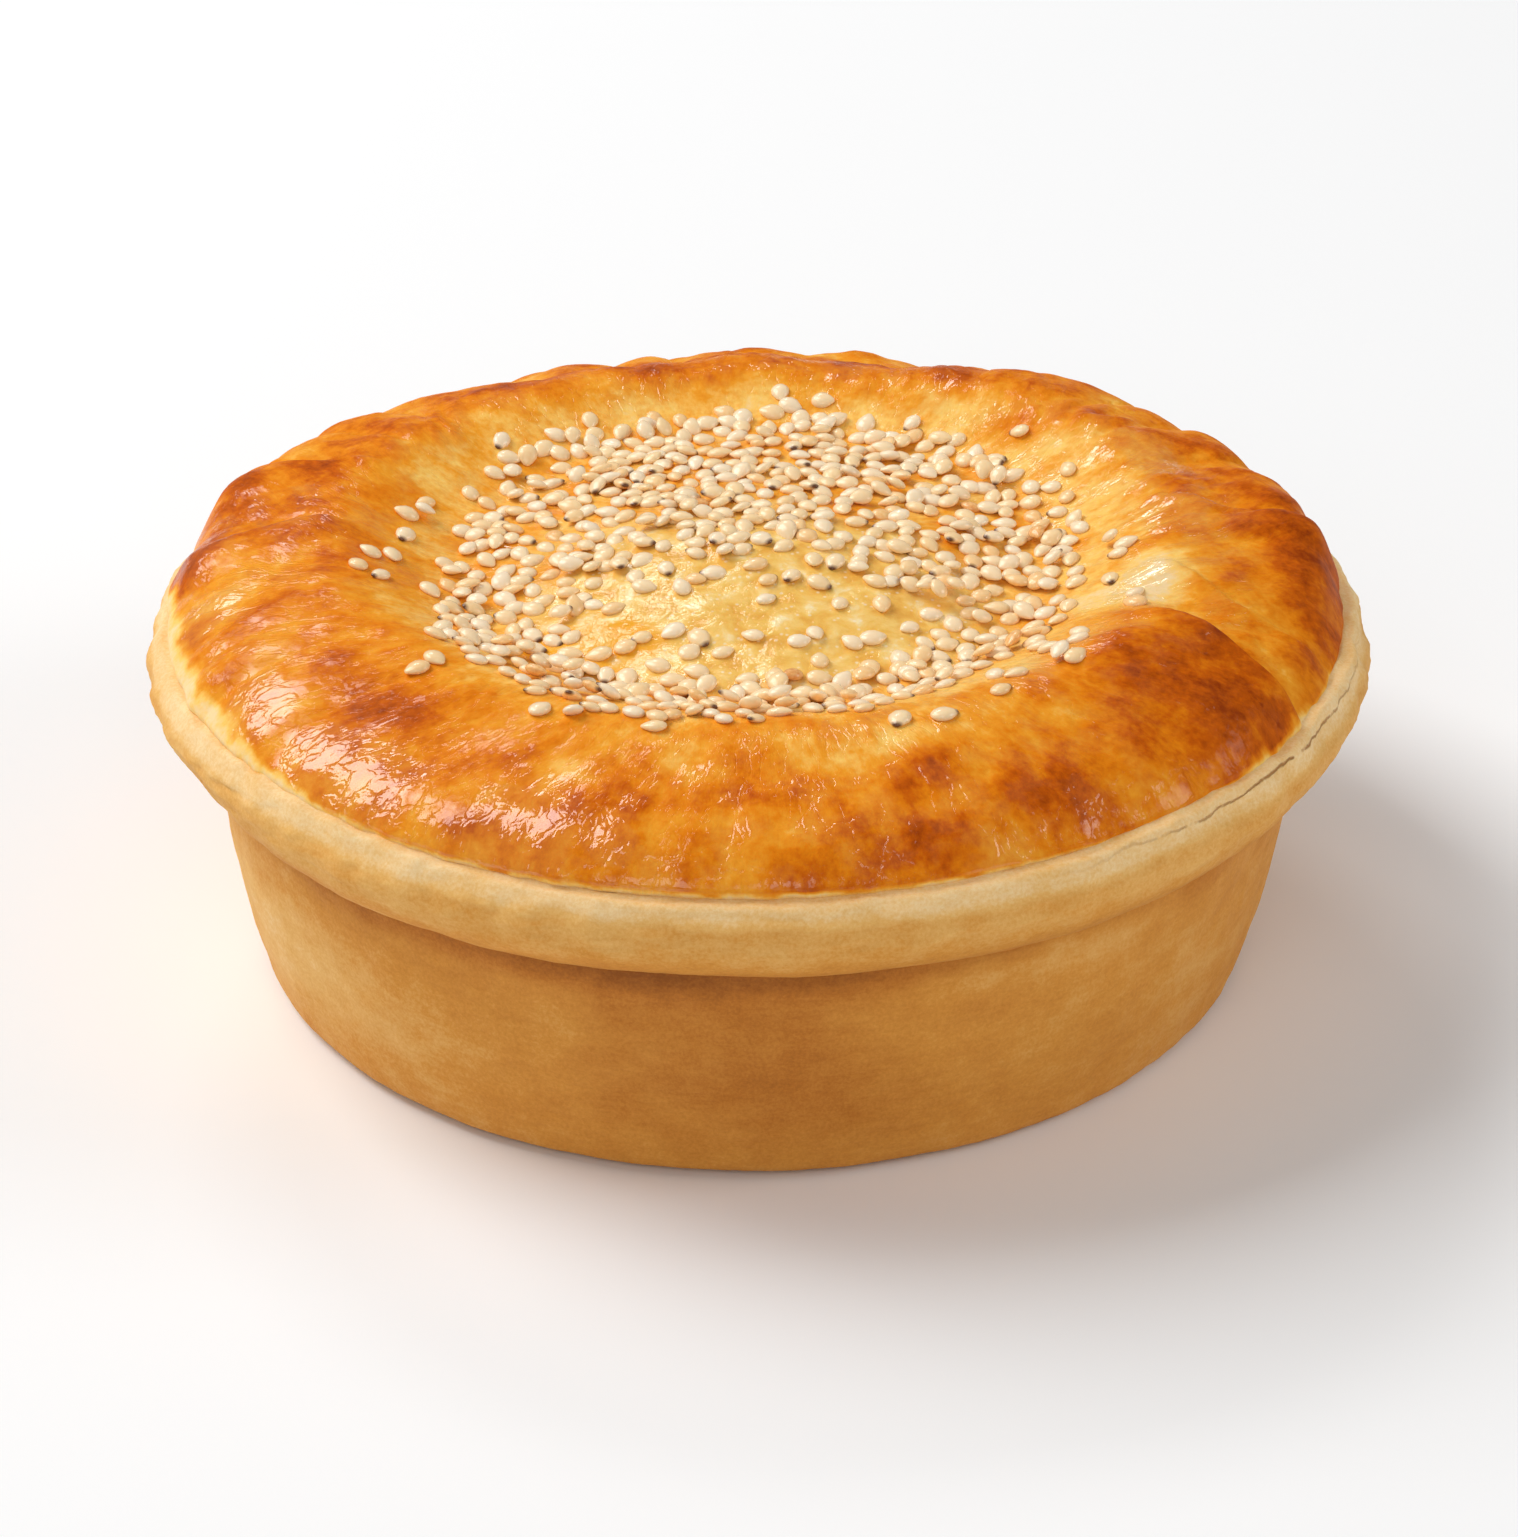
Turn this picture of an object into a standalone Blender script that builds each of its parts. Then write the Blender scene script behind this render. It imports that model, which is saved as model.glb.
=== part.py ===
# A whole chicken pie: a raised pastry case with a rolled rim, and a pleated lid with sesame seeds on it.
# The solids are in metres, +Z up. The origin is the middle of the foot, and the front of the pie is -Y.
# An angle round the pie is in degrees, 0 at the front and growing towards +X. Both pieces are turned shapes
# that are then pushed out of round, as hand-made pastry is.

import math
import random

import bmesh
import bpy
from mathutils import Matrix, Vector, noise
from mathutils.bvhtree import BVHTree

MM = 0.001

# Case: a wall that leans out, a crease under the rim, and the rim rolled over it
FOOT_RADIUS = 62.8 * MM
FOOT_FILLET = 3.8 * MM
CREASE_RADIUS = 67.1 * MM
CREASE_HEIGHT = 31.6 * MM
WALL_BELLY = 0.8 * MM
RIM_RADIUS = 75.0 * MM
RIM_HEIGHT = 39.6 * MM
SEAM_RADIUS = 71.6 * MM
SEAM_HEIGHT = 43.5 * MM
RIM_SHIFT = 0.8 * MM  # the rim sits this far off the foot's middle, towards +X
RIM_PINCH = (-1.6 * MM, 74.0, 42.0)  # the underside of the rim is slimmer at the two sides
PINCH_HEIGHT = 34.6 * MM
PINCH_REACH = 6.0 * MM
# The rim comes up against the lid, more in some places than in others: rise, angle of its middle and reach
RIM_RISES = [(1.3 * MM, 58.0, 62.0), (0.9 * MM, -48.0, 40.0), (0.7 * MM, 180.0, 80.0)]
CASE_LUMP = 0.45 * MM
CASE_LUMP_WAVE = 16.0 * MM
CASE_BUMP = 0.15 * MM
RIM_BUMP = 0.35 * MM
CASE_BUMP_WAVE = 6.0 * MM
CASE_SEGMENTS = 80

# Lid: radius and height of each ring, from the middle of the dome, over the raised border, to the edge
SEAM_GAP = 0.3 * MM
LID_OUTLINE = [
    (0.0, 52.2),
    (12.0, 51.9),
    (21.0, 51.0),
    (28.5, 49.7),
    (35.0, 49.0),
    (39.5, 50.1),
    (43.5, 51.9),
    (47.5, 53.7),
    (51.0, 54.5),
    (54.5, 54.3),
    (58.5, 53.1),
    (62.5, 51.4),
    (66.0, 49.6),
    (69.0, 47.6),
    (71.2, 45.6),
    (71.9, 44.6),
    (71.5, 43.8),
]
PLAIN_RADIUS = 40.0 * MM  # inside this the lid has no pleats and takes half the segments

# Pleats: the border is gathered into lobes with a crease between each two
PLEATS = 29
LID_SEGMENTS = 4 * PLEATS
PLEAT_DEPTH = 1.3 * MM
PLEAT_HEIGHTS = (0.6, 0.8)  # a lobe's middle height and how far one may be off it, as shares of the depth
LOBE_FULLNESS = 0.7  # below 1 a lobe is broad and its creases are narrow
LOBE_LEVEL = 0.6  # the share of a lobe that is below the plain outline
PLEAT_BULGE = 0.8  # the lobes also stand out sideways by this share
PLEAT_WANDER = 0.28  # share of a pleat's width that a crease may be off its even place
PLEAT_TWIST = 6.0  # degrees that a crease turns towards the front on its way in
PLEAT_START = 43.0 * MM
PLEAT_FULL = 62.0 * MM
# Folds that stand above the others: the ridge's angle at its outer and its inner end, its rise in
# millimetres and the width of its front slope
BIG_FOLDS = [
    (61.0, 57.5, 2.5, 24.0), (71.0, 78.0, 0.9, 9.0), (94.0, 99.0, 1.1, 15.0), (122.0, 126.0, 0.8, 14.0),
    (-73.0, -73.0, 0.6, 11.0), (-92.0, -92.0, 1.0, 14.0), (-111.0, -111.0, 0.8, 13.0),
]
FOLD_DROP = 4.0  # degrees in which a big fold falls away behind its ridge
FOLD_START = 46.0 * MM
FOLD_FULL = 57.0 * MM
FOLD_OUTSIDE = 62.0 * MM  # the ridge is at its outer angle from here on
FRONT_SOFTNESS = (0.8, -5.0, 95.0)  # the pleats are this much softer round the front

# How the lid leaves its round outline. Each zone is a ring, with its radius, its reach to either side and
# its rises, and each rise has a height, the angle of its middle and how far round it goes.
LID_ZONES = [
    (55.0 * MM, 14.0 * MM, [(-2.2 * MM, -16.0, 70.0)]),  # the border is flatter at the front
    (60.0 * MM, 15.0 * MM, [  # and uneven in height elsewhere
        (0.6 * MM, 45.0, 50.0), (2.3 * MM, 141.0, 21.0), (-2.9 * MM, 180.0, 75.0), (1.3 * MM, 180.0, 13.0),
    ]),
    (68.0 * MM, 11.0 * MM, [(1.9 * MM, -108.0, 38.0), (3.2 * MM, 98.0, 32.0)]),  # its shoulder at the sides
    (54.0 * MM, 11.0 * MM, [(-1.0 * MM, 68.0, 9.0), (-0.7 * MM, -84.0, 10.0)]),  # valleys behind two folds
    (32.0 * MM, 15.0 * MM, [(1.7 * MM, 180.0, 125.0)]),  # the hollow round the dome, shallow at the back
]
DOME_RISE = 1.9 * MM
DOME_RADIUS = 31.0 * MM
LUMP_HEIGHT = 0.75 * MM
LUMP_WAVE = 17.0 * MM
BUMP_HEIGHT = 0.35 * MM
BUMP_WAVE = 6.5 * MM
MIDDLE_LUMPS = 0.35  # the share of the lumps and bumps that the middle of the lid has
EDGE_RISE = 4.0 * MM  # the pushes fade out over this height above the lid's edge

# Seeds: plump teardrops
SEED_LENGTH = 3.3 * MM
SEED_WIDTH = 2.5 * MM
SEED_THICKNESS = 1.45 * MM
SEED_COUNT = 175
SEED_SPACING = 3.5 * MM
SEED_SUNK = 0.22  # share of the thickness that is below the crust
SEED_SIZES = (0.92, 1.06)
HEAP_RADIUS = 40.0 * MM  # the seeds lie thick out to here
HEAP_EDGE = (-2.0 * MM, 2.5 * MM)  # and grow fewer over this range
HEAP_RISES = [(8.0 * MM, -15.0, 80.0), (-3.0 * MM, -95.0, 60.0)]  # and further or less far round the sides
BARE_MIDDLE = (-1.0 * MM, -19.0 * MM)  # the front of the dome has few seeds
BARE_HALF = (22.0 * MM, 13.5 * MM)
BARE_EDGE = (0.85, 1.1)  # they grow more over this range of its half size
BARE_WANDER = 0.1
BARE_SHARE = 0.1
STRAY_RADIUS = 55.0 * MM
STRAY_EDGE = 4.0 * MM
STRAY_BACK = 9.0 * MM  # towards the back the strays end this much nearer to the dome
STRAY_TURN = (60.0, 110.0)  # the angles over which they come nearer
STRAY_SHARE = 0.07

RANDOM_SEED = 31


def clear_scene():
    for thing in list(bpy.data.objects):
        bpy.data.objects.remove(thing, do_unlink=True)


def blend(low, high, value):
    """0 below low, 1 above high, and a smooth step between them."""
    share = min(max((value - low) / (high - low), 0.0), 1.0)
    return share * share * (3.0 - 2.0 * share)


def hump(middle, half_width, value):
    """1 at the middle, falling smoothly to 0 at half_width on either side."""
    return 1.0 - blend(0.0, half_width, abs(value - middle))


def turned_away(angle, other):
    """The difference between two angles in degrees, from -180 to 180."""
    return (angle - other + 180.0) % 360.0 - 180.0


def wobble(x, y, z, wave, channel):
    """Smooth noise from about -1 to 1, whose bumps are about one wave apart."""
    return noise.noise(Vector((x / wave + 17.3 * channel, y / wave, z / wave)))


def round_the_side(rise, middle, reach, angle):
    """A rise that is full at its middle angle and gone at its reach to either side."""
    return rise * hump(0.0, reach, turned_away(angle, middle))


def crease_angles():
    """The angle of each crease, evenly spaced, moved a little and then set on a segment's line."""
    draw = random.Random(RANDOM_SEED)
    width = 360.0 / PLEATS
    line = 360.0 / LID_SEGMENTS
    moved = [width * (i + PLEAT_WANDER * draw.uniform(-1.0, 1.0)) for i in range(PLEATS)]
    return sorted(turned_away(line * round(angle / line), 0.0) for angle in moved)


CREASES = crease_angles()


def pleat_turn(radius, angle):
    """How far a crease has turned towards the front when it reaches this radius."""
    return PLEAT_TWIST * math.sin(math.radians(angle)) * blend(RIM_RADIUS, PLEAT_START, radius)


def pleat_lift(radius, angle):
    """How far the pleats lift the border here: uneven rounded lobes, with a crease at each end of a lobe."""
    outside = turned_away(angle + pleat_turn(radius, angle), 0.0)
    starts = [crease for crease in CREASES if crease <= outside]
    start = starts[-1] if starts else CREASES[-1] - 360.0
    ends = [crease for crease in CREASES if crease > outside]
    end = ends[0] if ends else CREASES[0] + 360.0
    share = (outside - start) / (end - start)
    lobe = math.sin(math.pi * share) ** LOBE_FULLNESS
    height = PLEAT_HEIGHTS[0] + PLEAT_HEIGHTS[1] * wobble(start, 0.0, 0.0, 7.0, 1)
    softer = 1.0 - round_the_side(*FRONT_SOFTNESS, angle)
    return PLEAT_DEPTH * height * softer * (lobe - LOBE_LEVEL) * blend(PLEAT_START, PLEAT_FULL, radius)


def fold_lift(radius, angle):
    """How far the few big folds lift the border: a long slope up, and a short drop behind the ridge."""
    lift = 0.0
    for outer, inner, height, width in BIG_FOLDS:
        ridge = inner + (outer - inner) * blend(FOLD_START, FOLD_OUTSIDE, radius)
        behind = turned_away(angle, ridge) * math.copysign(1.0, ridge)
        slope = blend(-width, 0.0, behind) if behind < 0.0 else 1.0 - blend(0.0, FOLD_DROP, behind)
        lift += height * MM * slope
    return lift * blend(FOLD_START, FOLD_FULL, radius)


def zone_lift(radius, angle):
    """How far the border, the hollow and the dome are above or below the plain outline."""
    lift = DOME_RISE * hump(0.0, DOME_RADIUS, radius)
    for middle, reach, rises in LID_ZONES:
        lift += hump(middle, reach, radius) * sum(round_the_side(*rise, angle) for rise in rises)
    return lift


def lid_lift(x, y, radius, angle):
    """Everything that the lid's surface has above its plain turned outline."""
    lift = pleat_lift(radius, angle) + fold_lift(radius, angle) + zone_lift(radius, angle)
    lumps = LUMP_HEIGHT * wobble(x, y, 0.0, LUMP_WAVE, 2) + BUMP_HEIGHT * wobble(x, y, 0.0, BUMP_WAVE, 3)
    return lift + lumps * (MIDDLE_LUMPS + (1.0 - MIDDLE_LUMPS) * blend(PLAIN_RADIUS, PLEAT_FULL, radius))


def turned_mesh(profile, segments):
    """A closed mesh turned round the Z axis from (radius, height) points that start and end on the axis."""
    mesh = bmesh.new()
    corners = [mesh.verts.new((0.0, -radius, height)) for radius, height in profile]
    edges = [mesh.edges.new(pair) for pair in zip(corners, corners[1:])]
    bmesh.ops.spin(
        mesh, geom=corners + edges, axis=(0.0, 0.0, 1.0), cent=(0.0, 0.0, 0.0),
        angle=math.tau, steps=segments, use_merge=True,
    )
    bmesh.ops.remove_doubles(mesh, verts=mesh.verts, dist=0.01 * MM)
    bmesh.ops.recalc_face_normals(mesh, faces=mesh.faces)
    return mesh


def case_profile():
    """The case from the middle of the foot, up the wall and over the rim, to the middle of its flat top."""
    points = [(0.0, 0.0)]
    for step in range(3):
        turn = math.radians(45.0 * step)
        points.append((
            FOOT_RADIUS - FOOT_FILLET * (1.0 - math.sin(turn)),
            FOOT_FILLET * (1.0 - math.cos(turn)),
        ))
    for share in (0.35, 0.7, 1.0):
        leaning = FOOT_RADIUS + (CREASE_RADIUS - FOOT_RADIUS) * share
        belly = WALL_BELLY * math.sin(math.pi * share)
        points.append((leaning + belly, FOOT_FILLET + (CREASE_HEIGHT - FOOT_FILLET) * share))
    lip = (RIM_RADIUS - CREASE_RADIUS, RIM_HEIGHT - CREASE_HEIGHT)
    points.append((CREASE_RADIUS + 0.52 * lip[0], CREASE_HEIGHT + 0.22 * lip[1]))
    points.append((CREASE_RADIUS + 0.88 * lip[0], CREASE_HEIGHT + 0.58 * lip[1]))
    points.append((RIM_RADIUS, RIM_HEIGHT))
    points.append((RIM_RADIUS - 1.2 * MM, SEAM_HEIGHT - 1.2 * MM))
    points.append((SEAM_RADIUS, SEAM_HEIGHT))
    points.append((0.0, SEAM_HEIGHT))
    return points


def make_case():
    mesh = turned_mesh(case_profile(), CASE_SEGMENTS)
    for corner in mesh.verts:
        x, y, z = corner.co
        radius = corner.co.xy.length
        if radius < MM:
            continue
        angle = math.degrees(math.atan2(x, -y))
        if z > 0.1 * MM:
            lip = blend(CREASE_HEIGHT, RIM_HEIGHT, z)
            lump = CASE_LUMP * wobble(x, y, z, CASE_LUMP_WAVE, 4)
            bump = (CASE_BUMP + RIM_BUMP * lip) * wobble(x, y, z, CASE_BUMP_WAVE, 5)
            pinch = round_the_side(*RIM_PINCH, abs(angle)) * hump(PINCH_HEIGHT, PINCH_REACH, z)
            corner.co += Vector((x, y, 0.0)) / radius * (lump + bump + pinch)
        if RIM_HEIGHT < z < SEAM_HEIGHT - 0.1 * MM:
            corner.co.z += sum(round_the_side(*rise, angle) for rise in RIM_RISES)
        corner.co.x += RIM_SHIFT * (blend(0.0, RIM_HEIGHT, z) - 0.5)
    return finished("pie_base", mesh, "pale pastry", (0.72, 0.43, 0.17), 0.62)


def thin_middle(mesh):
    """Takes every second segment out of the smooth middle of the lid."""
    step = math.tau / LID_SEGMENTS
    spare = []
    for edge in mesh.edges:
        near, far = sorted(edge.verts, key=lambda corner: corner.co.xy.length)
        across = far.co.xy.length - near.co.xy.length > MM
        segment = round(math.atan2(far.co.x, -far.co.y) / step)
        if across and far.co.xy.length < PLAIN_RADIUS and segment % 2:
            spare.append(edge)
    bmesh.ops.dissolve_edges(mesh, edges=spare, use_verts=True)


def make_lid():
    profile = [(r * MM, z * MM) for r, z in LID_OUTLINE]
    profile.append((0.0, SEAM_HEIGHT + SEAM_GAP))
    mesh = turned_mesh(profile, LID_SEGMENTS)
    thin_middle(mesh)
    underside = SEAM_HEIGHT + SEAM_GAP
    for corner in mesh.verts:
        if corner.co.z < underside + 0.01 * MM:
            continue
        radius = corner.co.xy.length
        angle = math.degrees(math.atan2(corner.co.x, -corner.co.y))
        turn = math.radians(-pleat_turn(radius, angle))
        corner.co.rotate(Matrix.Rotation(turn, 3, "Z"))
        x, y, z = corner.co
        angle = math.degrees(math.atan2(x, -y))
        lift = lid_lift(x, y, radius, angle)
        above = blend(underside, underside + EDGE_RISE, z)
        corner.co.z += lift * above
        if radius > PLEAT_FULL:
            away = Vector((x, y, 0.0)) / radius
            corner.co += away * PLEAT_BULGE * pleat_lift(radius, angle)
    return finished("pie_lid", mesh, "egg-washed crust", (0.62, 0.24, 0.035), 0.3)


def seeds_wanted(x, y):
    """How thickly the seeds lie here, from 0 to 1: in the hollow, and over all but the front of the dome."""
    radius = math.hypot(x, y)
    angle = math.degrees(math.atan2(x, -y))
    off_middle = math.hypot((x - BARE_MIDDLE[0]) / BARE_HALF[0], (y - BARE_MIDDLE[1]) / BARE_HALF[1])
    off_middle += BARE_WANDER * wobble(x, y, 0.0, 9.0 * MM, 21)
    outside = HEAP_RADIUS + sum(round_the_side(*rise, angle) for rise in HEAP_RISES)
    heap = BARE_SHARE + (1.0 - BARE_SHARE) * blend(*BARE_EDGE, off_middle)
    heap *= 1.0 - blend(outside + HEAP_EDGE[0], outside + HEAP_EDGE[1], radius)
    reach = STRAY_RADIUS - STRAY_BACK * blend(*STRAY_TURN, abs(angle))
    strays = STRAY_SHARE * (1.0 - blend(reach - STRAY_EDGE, reach, radius))
    return max(heap, strays)


def seed_places():
    """Where each seed lies, seen from above, none nearer than the spacing to another."""
    draw = random.Random(RANDOM_SEED)
    places = []
    while len(places) < SEED_COUNT:
        radius = STRAY_RADIUS * math.sqrt(draw.random())
        angle = draw.uniform(-180.0, 180.0)
        spot = Matrix.Rotation(math.radians(angle), 2) @ Vector((0.0, -radius))
        if draw.random() > seeds_wanted(spot.x, spot.y):
            continue
        if all((spot - other).length > SEED_SPACING for other in places):
            places.append(spot)
    return places


def make_seed(name, point, away, draw):
    """One seed lying on the crust at this point, with its broad side towards away."""
    mesh = bmesh.new()
    bmesh.ops.create_uvsphere(mesh, u_segments=5, v_segments=4, radius=0.5)
    for corner in mesh.verts:
        along = corner.co.z
        slim = 1.0 - 0.35 * blend(-0.1, 0.4, along)
        corner.co = Vector((along, corner.co.x * slim, corner.co.y * slim))
    size = draw.uniform(*SEED_SIZES)
    body = Vector((SEED_LENGTH, SEED_WIDTH, SEED_THICKNESS)) * size
    bmesh.ops.scale(mesh, verts=mesh.verts, vec=body)
    lie = away.to_track_quat("Z", "Y").to_matrix().to_4x4()
    spin = Matrix.Rotation(draw.uniform(0.0, math.tau), 4, "Z")
    lifted = point + away * SEED_THICKNESS * (0.5 - SEED_SUNK)
    bmesh.ops.transform(mesh, verts=mesh.verts, matrix=Matrix.Translation(lifted) @ lie @ spin)
    bmesh.ops.recalc_face_normals(mesh, faces=mesh.faces)
    data = bpy.data.meshes.new(name)
    mesh.to_mesh(data)
    mesh.free()
    return bpy.data.objects.new(name, data)


def fuse_seeds(lid):
    """Joins the seeds to the lid, so that the two are one solid."""
    draw = random.Random(RANDOM_SEED + 1)
    seeds = bpy.data.collections.new("seeds")
    bpy.context.scene.collection.children.link(seeds)
    bpy.context.view_layer.update()
    crust = BVHTree.FromObject(lid, bpy.context.evaluated_depsgraph_get())
    for number, spot in enumerate(seed_places()):
        above = spot.to_3d() + Vector((0.0, 0.0, 2.0 * SEAM_HEIGHT))
        point, away, _, _ = crust.ray_cast(above, Vector((0.0, 0.0, -1.0)))
        seeds.objects.link(make_seed(f"seed_{number}", point, away, draw))
    union = lid.modifiers.new("seeds", "BOOLEAN")
    union.operation = "UNION"
    union.operand_type = "COLLECTION"
    union.collection = seeds
    union.solver = "EXACT"
    bpy.context.view_layer.update()
    joined = bpy.data.meshes.new_from_object(lid.evaluated_get(bpy.context.evaluated_depsgraph_get()))
    lid.modifiers.clear()
    lid.data = joined
    for seed in list(seeds.objects):
        bpy.data.objects.remove(seed, do_unlink=True)
    bpy.data.collections.remove(seeds)


def finished(name, mesh, finish, colour, roughness):
    """Puts a mesh into the scene as a named object with its own material."""
    data = bpy.data.meshes.new(name)
    mesh.to_mesh(data)
    mesh.free()
    material = bpy.data.materials.new(finish)
    material.use_nodes = True
    shader = material.node_tree.nodes["Principled BSDF"]
    shader.inputs["Base Color"].default_value = (*colour, 1.0)
    shader.inputs["Roughness"].default_value = roughness
    shader.inputs["Metallic"].default_value = 0.0
    data.materials.append(material)
    thing = bpy.data.objects.new(name, data)
    bpy.context.scene.collection.objects.link(thing)
    return thing


def shade_round(thing):
    thing.data.shade_smooth()
    thing.data.set_sharp_from_angle(angle=math.radians(50.0))


clear_scene()
case = make_case()
lid = make_lid()
fuse_seeds(lid)
shade_round(case)
shade_round(lid)
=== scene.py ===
import bisect
import math
import random

import bmesh
import bpy
from mathutils import Matrix, Vector, noise
from mathutils.bvhtree import BVHTree


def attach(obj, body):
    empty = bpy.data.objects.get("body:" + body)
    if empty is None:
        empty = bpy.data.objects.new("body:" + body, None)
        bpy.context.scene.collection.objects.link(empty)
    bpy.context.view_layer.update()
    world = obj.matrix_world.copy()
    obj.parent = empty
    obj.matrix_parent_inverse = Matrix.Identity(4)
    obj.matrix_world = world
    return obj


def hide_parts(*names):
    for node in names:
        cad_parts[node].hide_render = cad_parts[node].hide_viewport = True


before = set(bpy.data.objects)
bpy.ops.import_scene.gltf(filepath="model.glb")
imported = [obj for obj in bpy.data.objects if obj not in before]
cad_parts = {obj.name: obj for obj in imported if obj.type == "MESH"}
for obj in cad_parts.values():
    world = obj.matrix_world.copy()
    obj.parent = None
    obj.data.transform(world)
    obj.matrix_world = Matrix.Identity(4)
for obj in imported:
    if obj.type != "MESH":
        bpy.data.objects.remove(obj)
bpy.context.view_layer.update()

mm = 0.001
drawSeed = 31  # the pleats and the first seeds fall where the solids have them


def blend(low, high, value):
    share = min(max((value - low) / (high - low), 0.0), 1.0)
    return share * share * (3.0 - 2.0 * share)


def hump(middle, halfWidth, value):
    return 1.0 - blend(0.0, halfWidth, abs(value - middle))


def turnedAway(angle, other):
    return (angle - other + 180.0) % 360.0 - 180.0


def roundTheSide(rises, angle):
    # the sum of some rises, each full at its middle angle and gone at its reach to either side
    return sum(rise * hump(0.0, reach, turnedAway(angle, middle)) for rise, middle, reach in rises)


def offCentre(x, y, middle, half):
    # 0 in the middle of an ellipse and 1 on its outline
    return math.hypot((x - middle[0]) / half[0], (y - middle[1]) / half[1])


def wobble(x, y, z, wave, channel):
    return noise.noise(Vector((x / wave + 17.3 * channel, y / wave, z / wave)))


def angleOf(point):
    return math.degrees(math.atan2(point.x, -point.y))  # 0 at the front, growing towards +X


def smoothThrough(points, spacing):
    # a Catmull-Rom curve through the points, read about every spacing
    ends = [points[0]] + list(points) + [points[-1]]
    read = [Vector(points[0])]
    for before, start, end, after in zip(ends, ends[1:], ends[2:], ends[3:]):
        before, start, end, after = (Vector(p) for p in (before, start, end, after))
        steps = max(1, round((end - start).length / spacing))
        for step in range(1, steps + 1):
            t = step / steps
            read.append(0.5 * (
                2.0 * start + (end - before) * t
                + (2.0 * before - 5.0 * start + 4.0 * end - after) * t * t
                + (3.0 * start - before - 3.0 * end + after) * t * t * t))
    return read


def turned(profile, segments):
    # spins a profile of (radius, height) points round the Z axis into a closed mesh
    bm = bmesh.new()
    corners = [bm.verts.new((0.0, -p[0], p[1])) for p in profile]
    edges = [bm.edges.new(pair) for pair in zip(corners, corners[1:])]
    bmesh.ops.spin(bm, geom=corners + edges, axis=(0, 0, 1), cent=(0, 0, 0),
                   angle=math.tau, steps=segments, use_merge=True)
    bmesh.ops.remove_doubles(bm, verts=bm.verts, dist=0.01 * mm)
    bmesh.ops.recalc_face_normals(bm, faces=bm.faces)
    return bm


def halveSegments(bm, segments, insideRadius):
    # takes every second segment out of a turned mesh inside a radius, where they crowd
    step = math.tau / segments
    spare = []
    for edge in bm.edges:
        near, far = sorted(edge.verts, key=lambda v: v.co.xy.length)
        runsOut = far.co.xy.length - near.co.xy.length > 0.1 * mm
        if runsOut and far.co.xy.length < insideRadius:
            if round(math.atan2(far.co.x, -far.co.y) / step) % 2:
                spare.append(edge)
    bmesh.ops.dissolve_edges(bm, edges=spare, use_verts=True)


def newPiece(name, bm, material):
    data = bpy.data.meshes.new(name)
    bm.to_mesh(data)
    bm.free()
    data.materials.append(material)
    data.shade_smooth()
    piece = bpy.data.objects.new(name, data)
    bpy.context.scene.collection.objects.link(piece)
    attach(piece, "root")
    return piece


def keepNumbers(piece, name, numbers):
    # stores one number for each point of the mesh, for the material to read
    attribute = piece.data.attributes.new(name, "FLOAT", "POINT")
    attribute.data.foreach_set("value", numbers)


def keepPlaces(piece, name, places):
    attribute = piece.data.attributes.new(name, "FLOAT_VECTOR", "POINT")
    attribute.data.foreach_set("vector", [c for place in places for c in place])


def linear(r, g, b):
    # a colour as seen on screen, 0 to 255, turned into the shader's own scale
    def one(c):
        c = c / 255.0
        return c / 12.92 if c <= 0.04045 else ((c + 0.055) / 1.055) ** 2.4
    return (one(r), one(g), one(b), 1.0)


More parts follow.
